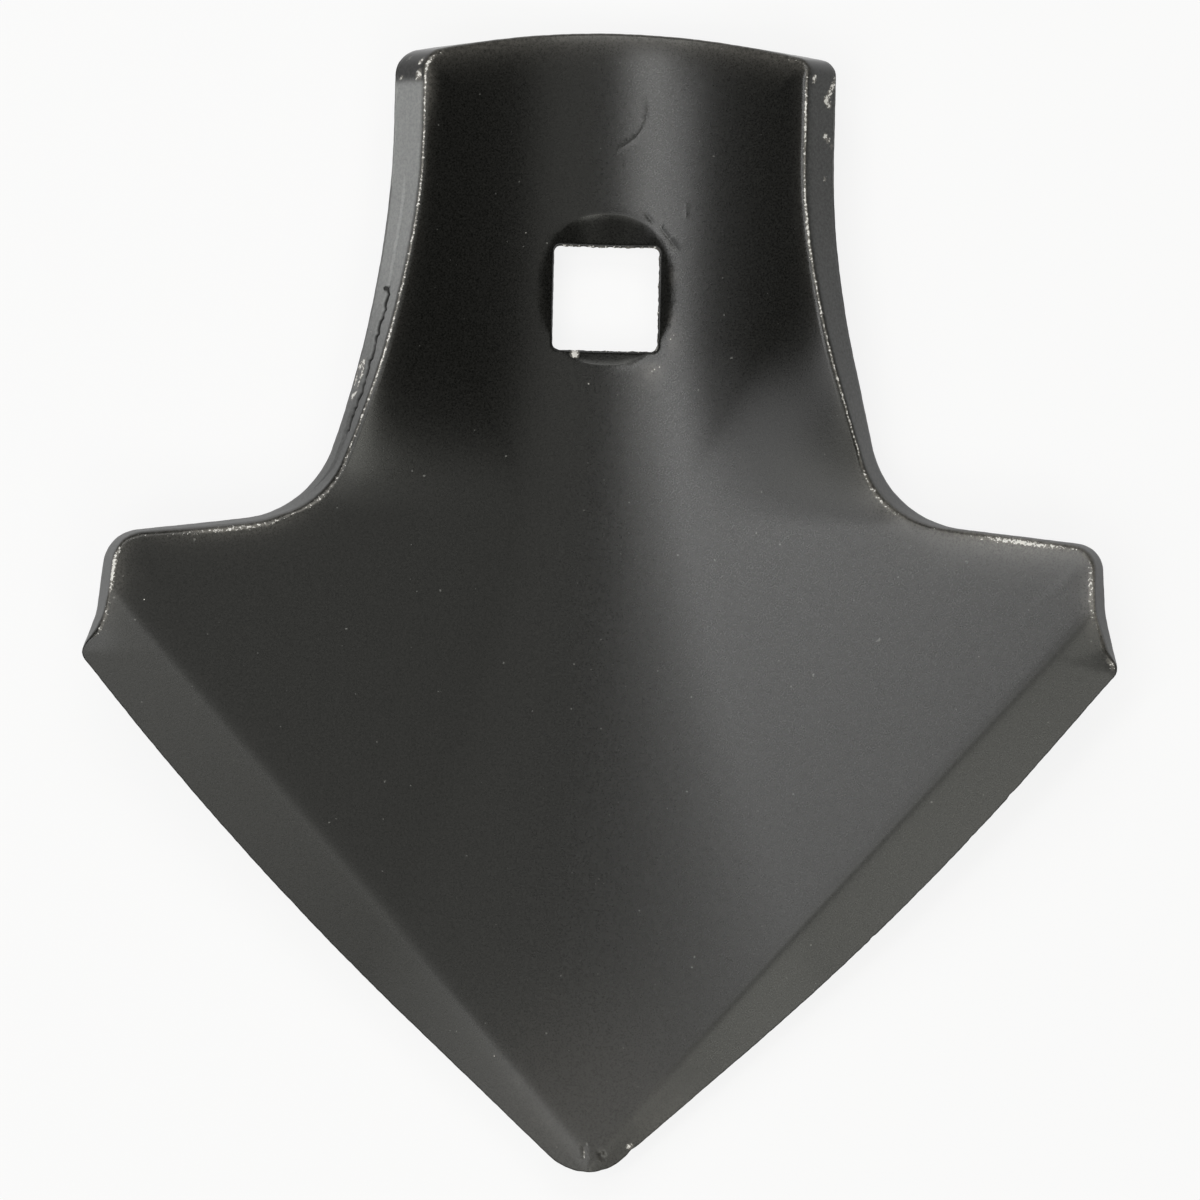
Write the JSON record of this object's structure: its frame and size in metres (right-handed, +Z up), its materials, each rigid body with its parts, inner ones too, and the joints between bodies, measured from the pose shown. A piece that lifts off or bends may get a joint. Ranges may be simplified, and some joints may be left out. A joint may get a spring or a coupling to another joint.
{
  "type": "cultivator sweep",
  "caption": "Pressed steel cultivator sweep: a hollow neck with a square bolt hole opens into spread wings with bevelled cutting edges.",
  "frame": {"origin": "under the middle of the plate, on the surface that it lies on", "axes": "+Y from the tip to the neck, +Z up out of the hollow face, +X across the wings"},
  "size_m": [0.1044, 0.1156, 0.0136],
  "materials": {
    "black_paint": "satin black paint on steel, worn to bright metal along the rims"
  },
  "bodies": {
    "root": {"sweep": "black_paint"}
  },
  "joints": []
}
